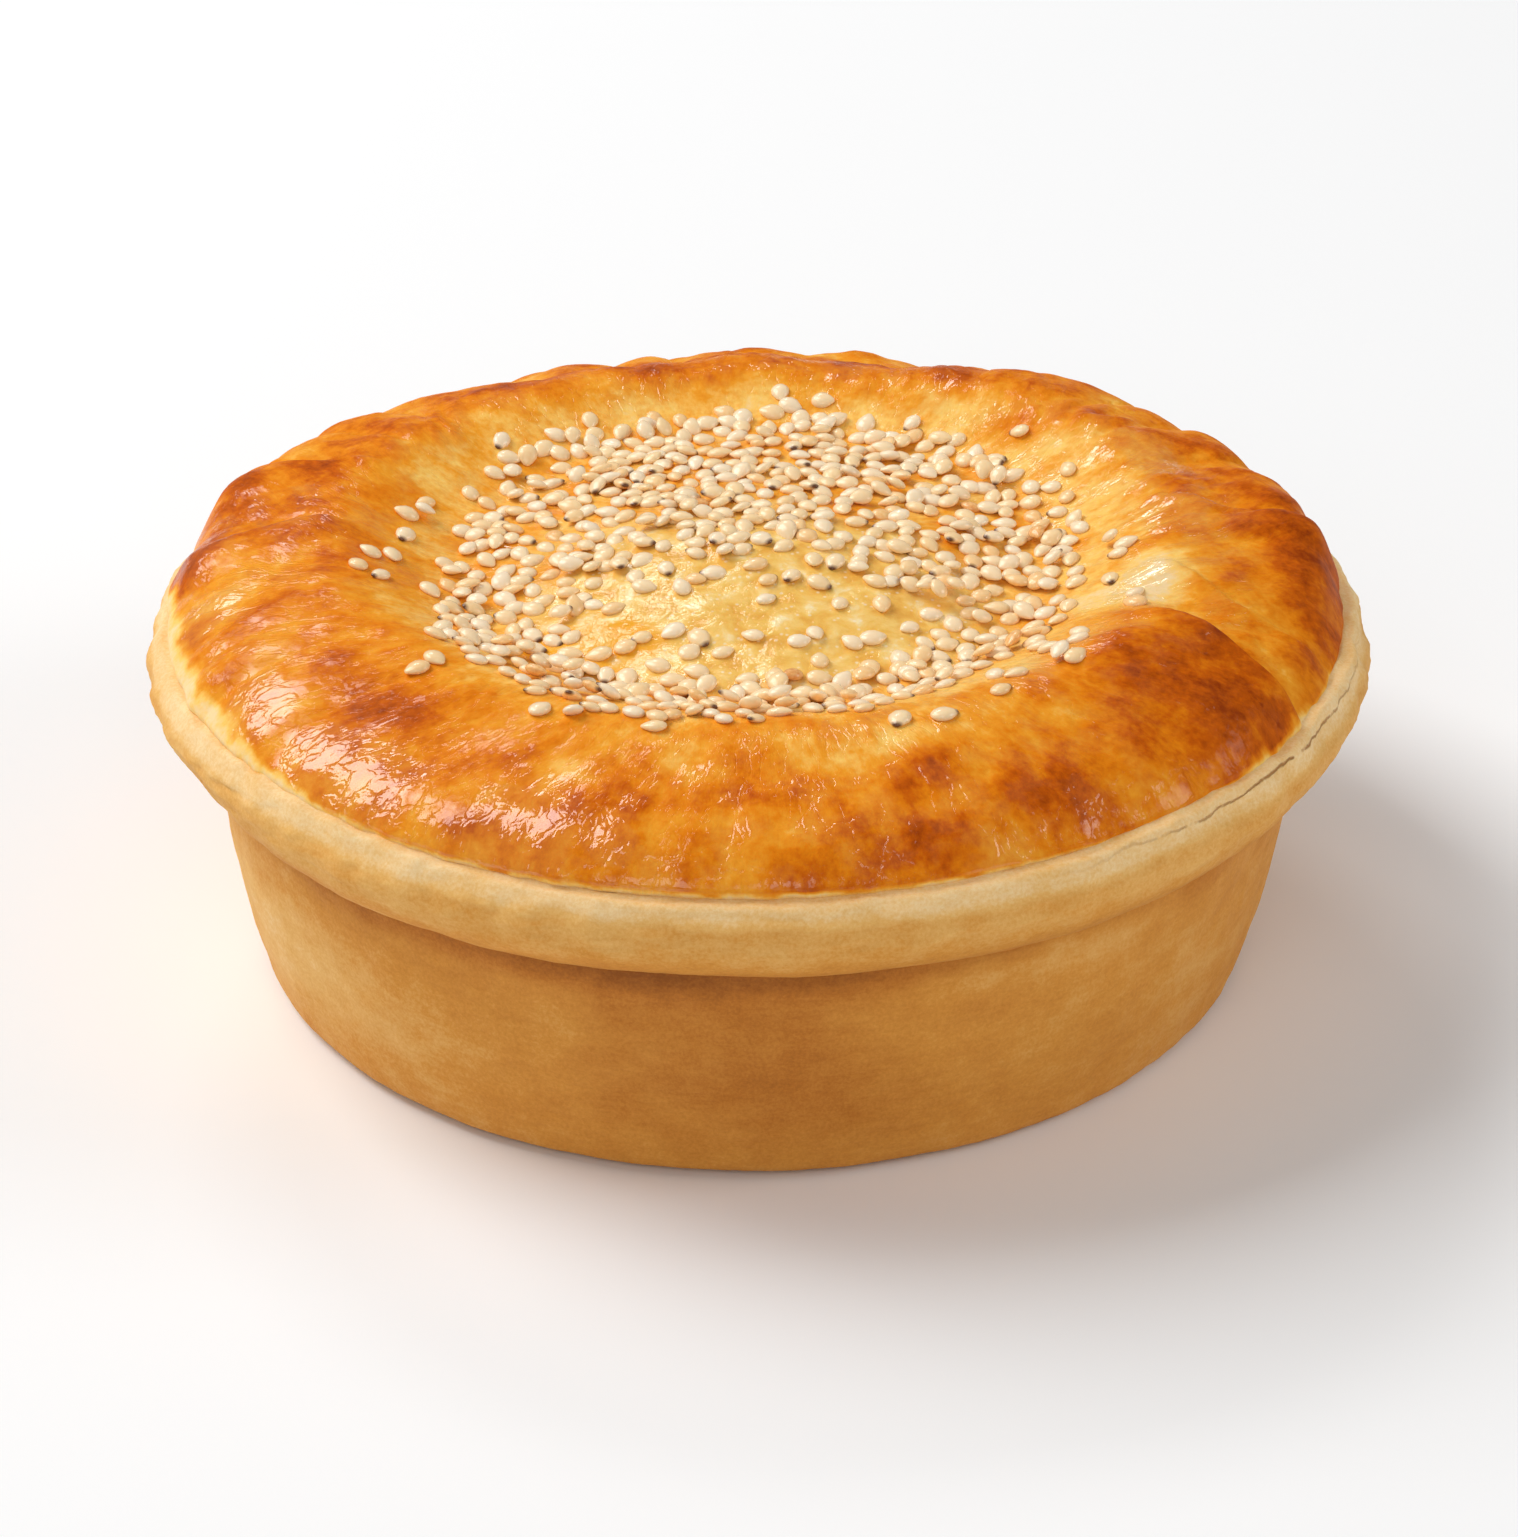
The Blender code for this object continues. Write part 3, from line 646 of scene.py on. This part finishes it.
def brownAt(x, y, radius, angle, z, lobes, fold, lumps):
    b = browned
    wander = 4.0 * mm * wobble(x, y, 0.0, 11.0 * mm, 8)
    outer = blend(b["from"], b["to"], radius + wander)
    # the term under the seeds is painted shade between them
    brown = b["inner"] + b["gain"] * outer + b["paintedShadeUnderSeeds"] * blend(42.0 * mm, 35.0 * mm, radius)
    brown += b["lobes"] * lobes * blend(46.0 * mm, 62.0 * mm, radius)
    brown += b["folds"] * fold / mm + b["lumps"] * lumps / mm
    broad, close = b["mottle"]
    mottle = broad * wobble(x, y, 0.0, 7.0 * mm, 9) + close * wobble(x, y, 0.0, 3.0 * mm, 10)
    brown += mottle * (0.4 + 0.6 * outer)
    for *patch, more in b["patches"]:
        brown += more * nearPatch(radius, angle, patch)
    glaze = 1.0
    if z < b["paleBelow"] and radius > 60.0 * mm:  # the lowest edge stayed pale, widest at the left
        band = b["paleEdgeLeast"] + roundTheSide(b["paleEdge"], angle)
        ragged = 1.0 + 0.5 * wobble(x, y, 0.0, 5.0 * mm, 11) + 0.3 * wobble(x, y, 0.0, 1.8 * mm, 18)
        band *= ragged * mm
        height = z - lid["seam"]
        brown *= 0.10 + 0.90 * blend(0.5 * band, 1.3 * band, height)
        glaze = blend(0.6 * band, 1.4 * band, height)
    # the outer slopes at the right and the back were brushed thinly
    onwards = angle + 360.0 * (angle < -104.0)
    thinFrom = (b["thinFrom"] - 9.0 * blend(90.0, 140.0, onwards)) * mm
    glaze *= 1.0 - 0.9 * blend(thinFrom, thinFrom + 9.0 * mm, radius) * blend(*b["thinSide"], onwards)
    for *patch, less in b["dry"]:
        glaze *= 1.0 - less * nearPatch(radius, angle, patch)
    wet = max(nearPatch(radius, angle, patch) for patch in b["wet"])
    offMiddle = offCentre(x, y, *b["cream"]) + 0.14 * wobble(x, y, 0.0, 9.0 * mm, 12)
    middle = 1.0 - blend(*b["creamEdge"], offMiddle)
    # the yellow patch left of the middle has a sharp near edge
    (middleX, middleY), (halfAlong, halfOut) = b["yolk"]
    spot = Vector((x - middleX, y - middleY))
    cosine, sine = b["yolkTurn"]
    along = (spot.x * cosine - spot.y * sine) / halfAlong
    out = (spot.x * sine + spot.y * cosine) / halfOut
    reach = math.hypot(along, out + 0.25) + 0.35 * wobble(x, y, 0.0, 6.0 * mm, 13)
    yolk = (1.0 - blend(0.55, 1.05, reach)) * blend(-0.82, -0.74, out)
    brown -= 0.5 * max(0.0, brown - 0.8)
    return {
        "browning": min(max(brown, 0.0), b["darkest"]),
        "cream": middle,
        "yolk": yolk,
        "glaze": glaze,
        "wet": blend(0.15, 0.4, wet + 0.3 * wobble(x, y, 0.0, 3.0 * mm, 28)),
    }


def makeLid():
    profile = smoothThrough([(r * mm, z * mm) for r, z in lid["outline"]], lid["spacing"])
    profile += [Vector(lid["tuck"]), Vector((0.0, lid["tuck"][1]))]
    bm = turned(profile, lid["segments"])
    halveSegments(bm, lid["segments"], lid["halfInside"])
    halveSegments(bm, lid["segments"] // 2, lid["quarterInside"])
    numbers, skin = shapeLid(bm)
    crust = BVHTree.FromBMesh(bm)
    piece = newPiece("crust_lid", bm, eggWashedCrust())
    keepPlaces(piece, "skin", skin)
    for name, values in numbers.items():
        keepNumbers(piece, name, values)
    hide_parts("pie_lid")
    return crust


case = {
    "foot": 62.8 * mm,
    "fillet": 3.8 * mm,
    "crease": (67.1 * mm, 31.6 * mm),
    "belly": 0.8 * mm,
    "rim": (75.0 * mm, 39.0 * mm),
    "overRim": [
        (74.7 * mm, 40.9 * mm), (73.9 * mm, 42.5 * mm), (73.1 * mm, 43.2 * mm), (72.3 * mm, 43.2 * mm),
    ],
    "seam": (71.6 * mm, 43.5 * mm),
    "shift": 0.8 * mm,
    "pinch": [(-1.6 * mm, 74.0, 42.0)],
    "lump": (0.45 * mm, 16.0 * mm),
    "bump": 0.15 * mm,
    "rimBump": 0.35 * mm,
    "flake": 0.28 * mm,
    "bumpWave": 6.0 * mm,
    "spacing": 0.75 * mm,
    "rimSpacing": 0.35 * mm,
    "segments": 640,
    "collar": [
        (1.3 * mm, 58.0, 62.0), (0.9 * mm, -48.0, 40.0), (0.7 * mm, 180.0, 80.0), (0.1 * mm, -4.0, 22.0),
    ],
    "torn": (56.0, 34.0),
    "lipped": (-52.0, 46.0),
    "tornLip": 0.22 * mm,
}


def caseProfile():
    c = case
    points = []
    for step in range(3):
        turn = math.radians(45.0 * step)
        inwards = c["fillet"] * (1.0 - math.sin(turn))
        points.append((c["foot"] - inwards, c["fillet"] * (1.0 - math.cos(turn))))
    creaseRadius, creaseHeight = c["crease"]
    out, high = creaseRadius - c["foot"], creaseHeight - c["fillet"]
    for share in (0.35, 0.7, 1.0):
        belly = c["belly"] * math.sin(math.pi * share)
        points.append((c["foot"] + out * share + belly, c["fillet"] + high * share))
    lipOut, lipHigh = c["rim"][0] - creaseRadius, c["rim"][1] - creaseHeight
    underRim = [(creaseRadius + shareOut * lipOut, creaseHeight + shareHigh * lipHigh)
                for shareOut, shareHigh in ((0.52, 0.22), (0.88, 0.58))]
    wall = smoothThrough(points, c["spacing"])
    rim = smoothThrough([points[-1], *underRim, c["rim"], *c["overRim"], c["seam"]], c["rimSpacing"])
    inside = Vector((c["seam"][0] - 0.9 * mm, c["seam"][1] - 0.6 * mm))
    return [Vector((0.0, 0.0))] + wall + rim[1:] + [inside, Vector((0.0, inside.y))]


def shapeCase(bm):
    c = case
    numbers = {"toast": [], "crack": [], "aboveCrack": []}
    for v in bm.verts:
        x, y, z = v.co
        radius = v.co.xy.length
        angle = angleOf(v.co)
        aboveCrack = -1.0
        if radius > mm:
            if z > 0.1 * mm:
                lip = blend(c["crease"][1], c["rim"][1], z)
                push = c["lump"][0] * wobble(x, y, z, c["lump"][1], 4)
                push += (c["bump"] + c["rimBump"] * lip) * wobble(x, y, z, c["bumpWave"], 5)
                push += roundTheSide(c["pinch"], abs(angle)) * hump(c["crease"][1] + 3.0 * mm, 6.0 * mm, z)
                push += 0.10 * mm * wobble(x, y, z * 0.6, 2.2 * mm, 14)
                push += 0.05 * mm * wobble(x, y, z, 1.1 * mm, 15)
                # the upper part of the rim is flaky, in low ridges that run round it
                flaky = blend(36.5 * mm, 38.5 * mm, z)
                push += c["flake"] * flaky * wobble(x, y, z * 3.0, 3.2 * mm, 22)
                push += 0.6 * c["flake"] * flaky * wobble(x, y, z * 2.2, 1.3 * mm, 23)
                v.co += Vector((x, y, 0.0)) / radius * push
            # the rim comes up against the lid, more in some places than others
            collar = roundTheSide(c["collar"], angle) * (1.0 + 0.35 * wobble(x, y, 0.0, 4.0 * mm, 19))
            # a torn line runs round it, lowest at the left, but it opens only at the right; a lip of dough
            # hangs over it at the right and at the front left
            drop = (0.8 + 4.4 * blend(-40.0, -76.0, angle) + 0.5 * wobble(x, y, 0.0, 9.0 * mm, 27)) * mm
            torn = hump(*c["torn"], angle)
            lipped = max(torn, hump(*c["lipped"], angle))
            if 36.0 * mm < z < 43.0 * mm:
                over = blend(0.0, 0.4 * mm, z - c["seam"][1] - 0.75 * collar + drop)
                over *= blend(43.0 * mm, 42.0 * mm, z)
                v.co += Vector((x, y, 0.0)) / radius * c["tornLip"] * over * lipped
            if z > 41.0 * mm:
                v.co.z += collar * blend(74.4 * mm, 73.2 * mm, radius)
                v.co.z += 0.3 * mm * wobble(x, y, 0.0, 2.4 * mm, 25) * blend(71.6 * mm, 72.6 * mm, radius)
            aboveCrack = v.co.z - c["seam"][1] - 0.75 * collar + drop
            v.co.x += c["shift"] * (blend(0.0, c["rim"][1], z) - 0.5)
        numbers["toast"].append(toastAt(x, y, z, angle))
        numbers["aboveCrack"].append(aboveCrack)
        numbers["crack"].append(torn if radius > mm else 0.0)
    return numbers


def toastAt(x, y, z, angle):
    c = case
    rim = blend(c["crease"][1] - 2.0 * mm, c["crease"][1] + 7.0 * mm, z)
    # the wall darkens towards its top: painted shade under the overhanging rim
    wall = 0.50 + 0.08 * blend(18.0 * mm, 30.0 * mm, z)
    # browner in the middle of the front, paler at the left: partly real toasting, partly painted shade on the
    # front and painted light on the left, the side the window lamp lights
    wall += hump(15.0 * mm, 17.0 * mm, z) * (0.26 * hump(0.0, 32.0, angle) - 0.27 * hump(-68.0, 46.0, angle))
    wall += 0.08 * wobble(x, y, z, 14.0 * mm, 16) + 0.04 * wobble(x, y, z, 4.0 * mm, 17)
    # the rim is palest on top and at the left and golden below its crown: partly paler dough, partly painted
    # shade on the underside that faces the floor; the crease is darker with painted shade
    edge = 0.12 + 0.26 * blend(42.6 * mm, 40.4 * mm, z) + 0.12 * hump(35.0 * mm, 4.0 * mm, z)
    edge += 0.07 * wobble(x, y, 2.0 * z, 5.0 * mm, 17) - 0.04 * hump(-60.0, 50.0, angle)
    # painted shade in the crease under the rim, deepest at the front
    crease = hump(c["crease"][1] - 1.0 * mm, 4.5 * mm, z) * (0.35 + 0.65 * hump(-10.0, 70.0, angle))
    broken = blend(-0.3, 0.3, wobble(x, y, 0.0, 9.0 * mm, 26))
    # a thin broken brown line along the crease
    line = 0.20 * hump(c["crease"][1] + 0.4 * mm, 0.8 * mm, z) * broken
    # painted shade in the crease, and a painted shadow of the rim on the top of the front wall
    line += 0.28 * crease + 0.14 * hump(28.0 * mm, 8.0 * mm, z) * hump(-8.0, 26.0, angle)
    line -= 0.22 * hump(28.0 * mm, 5.0 * mm, z) * hump(30.0, 24.0, angle)
    return min(max(wall + (edge - wall) * rim + line, 0.0), 1.0)


def makeCase():
    bm = turned(caseProfile(), case["segments"])
    numbers = shapeCase(bm)
    piece = newPiece("pastry_case", bm, bakedPastry())
    for name, values in numbers.items():
        keepNumbers(piece, name, values)
    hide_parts("pie_base")


seed = {
    "length": 3.2 * mm,
    "width": 2.55 * mm,
    "thickness": 1.35 * mm,
    "count": 175,
    "spacing": 3.5 * mm,
    "more": 530,
    "moreSpacing": 1.8 * mm,
    "outside": 40.0 * mm,
    "outsideRises": [(8.0 * mm, -15.0, 80.0), (-3.0 * mm, -95.0, 60.0)],
    "bare": ((-1.0 * mm, -19.0 * mm), (22.0 * mm, 13.5 * mm)),  # middle and half sizes, where few seeds lie
    "stuck": ((-21.0 * mm, -4.0 * mm), (10.0 * mm, 13.0 * mm)),  # the same for where they sank into the glaze
    "strayRadius": 55.0 * mm,
    "strays": 0.07,
    "near": 2.6 * mm,  # closer than this, one seed lies on the other
    "darkTips": 0.26,
    "sides": 10,
    "rings": 7,
}


def seedsWanted(x, y):
    # they fill the hollow and lie thick over the dome, apart from a bare part at its front
    radius = math.hypot(x, y)
    angle = math.degrees(math.atan2(x, -y))
    outside = seed["outside"] + roundTheSide(seed["outsideRises"], angle)
    away = offCentre(x, y, *seed["bare"]) + 0.1 * wobble(x, y, 0.0, 9.0 * mm, 21)
    thick = 0.1 + 0.9 * blend(0.85, 1.1, away)
    thick *= 1.0 - blend(outside - 2.0 * mm, outside + 2.5 * mm, radius)
    reach = seed["strayRadius"] - 9.0 * mm * blend(60.0, 110.0, abs(angle))
    strays = seed["strays"] * (1.0 - blend(reach - 4.0 * mm, reach, radius))
    return max(thick, strays)


def seedPlaces(draw, places, count, spacing):
    tries = 0
    while len(places) < count and tries < 60000:
        tries += 1
        radius = seed["strayRadius"] * math.sqrt(draw.random())
        angle = draw.uniform(-180.0, 180.0)
        spot = Matrix.Rotation(math.radians(angle), 2) @ Vector((0.0, -radius))
        if draw.random() > seedsWanted(spot.x, spot.y):
            continue
        if all((spot - other).length > spacing for other in places):
            places.append(spot)


def oneSeed():
    # a plump teardrop, its point towards +X
    bm = bmesh.new()
    bmesh.ops.create_uvsphere(bm, u_segments=seed["sides"], v_segments=seed["rings"], radius=0.5)
    for v in bm.verts:
        along = v.co.z
        slim = 1.0 - 0.34 * blend(-0.05, 0.48, along)
        v.co = Vector((along, v.co.x * slim, v.co.y * slim))
    bmesh.ops.recalc_face_normals(bm, faces=bm.faces)
    return bm


def makeSeeds(crust):
    draw = random.Random(drawSeed)
    places = []
    seedPlaces(draw, places, seed["count"], seed["spacing"])
    seedPlaces(draw, places, seed["count"] + seed["more"], seed["moreSpacing"])
    pattern = oneSeed()
    shape = bpy.data.meshes.new("seed shape")
    pattern.to_mesh(shape)
    pattern.free()
    pool = bmesh.new()
    tones, tips, laid = [], [], []
    for spot in places:
        point, away, _, _ = crust.ray_cast(spot.to_3d() + Vector((0, 0, 0.2)), Vector((0, 0, -1)))
        stuck = 1.0 - blend(0.7, 1.1, offCentre(spot.x, spot.y, *seed["stuck"]))
        lift = (0.2 - 0.3 * stuck) * seed["thickness"]
        crowd = 0.0
        for other, height in laid:
            near = (spot - other).length
            if near < seed["near"]:
                over = height + seed["thickness"] * 0.8 * (1.0 - near / seed["near"]) - point.z
                crowd = max(crowd, over)
        lift = max(lift, crowd)
        tilt = 8.0 if crowd < 0.4 * mm else 24.0
        size = draw.uniform(0.86, 1.08)
        width = seed["width"] * size * draw.uniform(0.92, 1.06)
        body = Vector((seed["length"] * size, width, seed["thickness"] * size))
        lie = away.to_track_quat("Z", "Y").to_matrix().to_4x4()
        turn = Matrix.Rotation(draw.uniform(0.0, math.tau), 4, "Z")
        lean = Matrix.Rotation(math.radians(draw.uniform(-tilt, tilt)), 4, "X") @ Matrix.Rotation(
            math.radians(draw.uniform(-tilt, tilt)), 4, "Y")
        place = Matrix.Translation(point + away * lift) @ lie @ turn @ lean @ Matrix.Diagonal(body).to_4x4()
        before = len(pool.verts)
        pool.from_mesh(shape)
        pool.verts.ensure_lookup_table()
        fresh = pool.verts[before:]
        tone = min(max(draw.gauss(0.34, 0.2), 0.0), 1.0)
        tipped = draw.random() < seed["darkTips"]
        for v in fresh:
            tones.append(tone)
            tips.append(blend(0.36, 0.46, v.co.x) if tipped else 0.0)
        bmesh.ops.transform(pool, verts=fresh, matrix=place)
        laid.append((spot, point.z + lift))
    piece = newPiece("sesame_seeds", pool, sesameSkin())
    keepNumbers(piece, "tone", tones)
    keepNumbers(piece, "tip", tips)
    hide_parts("pie_lid")


studio = {
    "floorSize": 6.0,
    "floorColour": (247, 251, 255),
    "lookAt": Vector((0.38, 0.0, 20.5)) * mm,
    "cameraHeight": 25.0 * mm,
    "distance": 0.6,
    "elevation": 28.56,
    "roll": -0.39,
    "lens": 112.15,
    "sky": 0.22,
    "lampDistance": 2.0,
    "lamps": [  # direction from the pie, size, how far it is turned, power, colour
        ("window", (-0.61, 0.26, 0.74), (1.70, 1.00), 52.0, 33.0, (1.0, 0.955, 0.915)),
        ("behind", (-0.22, 0.70, 0.66), (0.50, 0.30), 0.0, 4.5, (1.0, 0.965, 0.93)),
        ("front", (-0.12, -0.82, 0.56), (1.40, 0.90), 0.0, 8.5, (1.0, 0.97, 0.94)),
        ("right", (0.90, -0.10, 0.42), (0.90, 0.90), 0.0, 10.0, (1.0, 0.97, 0.94)),
    ],
}


def makeFloor():
    bm = bmesh.new()
    bmesh.ops.create_grid(bm, x_segments=1, y_segments=1, size=studio["floorSize"] / 2)
    data = bpy.data.meshes.new("floor")
    bm.to_mesh(data)
    bm.free()
    look = Finish("pale floor")
    look.set(Base_Color=linear(*studio["floorColour"]), Roughness=0.9, Specular_IOR_Level=0.1)
    data.materials.append(look.material)
    floor = bpy.data.objects.new("floor", data)
    bpy.context.scene.collection.objects.link(floor)


def makeLamps():
    for name, direction, size, turn, power, colour in studio["lamps"]:
        lamp = bpy.data.lights.new(name, "AREA")
        lamp.shape = "RECTANGLE"
        lamp.size, lamp.size_y = size
        lamp.energy = power
        lamp.color = colour
        holder = bpy.data.objects.new(name, lamp)
        bpy.context.scene.collection.objects.link(holder)
        away = Vector(direction).normalized()
        holder.location = Vector((0, 0, 45 * mm)) + away * studio["lampDistance"]
        facing = (-away).to_track_quat("-Z", "Y").to_matrix()
        holder.rotation_euler = (facing @ Matrix.Rotation(math.radians(turn), 3, "Z")).to_euler()
    sky = bpy.data.worlds.new("studio")
    bpy.context.scene.world = sky
    sky.use_nodes = True
    sky.node_tree.nodes["Background"].inputs["Color"].default_value = (1.0, 0.99, 0.975, 1.0)
    sky.node_tree.nodes["Background"].inputs["Strength"].default_value = studio["sky"]
    bpy.context.scene.view_settings.view_transform = "Standard"


def makeCamera():
    s = studio
    lens = bpy.data.cameras.new("camera")
    lens.lens = s["lens"]
    lens.sensor_width = 36.0
    lens.clip_start = 0.01
    camera = bpy.data.objects.new("camera", lens)
    bpy.context.scene.collection.objects.link(camera)
    rise = math.radians(s["elevation"])
    stand = Vector((0.0, -s["distance"] * math.cos(rise), s["cameraHeight"] + s["distance"] * math.sin(rise)))
    aim = (s["lookAt"] - stand).to_track_quat("-Z", "Y").to_matrix().to_4x4()
    camera.matrix_world = Matrix.Translation(stand) @ aim @ Matrix.Rotation(math.radians(s["roll"]), 4, "Z")
    bpy.context.scene.camera = camera


makeFloor()
makeLamps()
makeCamera()
print("floor, lamps and camera are set")
makeCase()
print("the case is made")
crustSurface = makeLid()
print("the lid is made")
makeSeeds(crustSurface)
print("the seeds are laid")
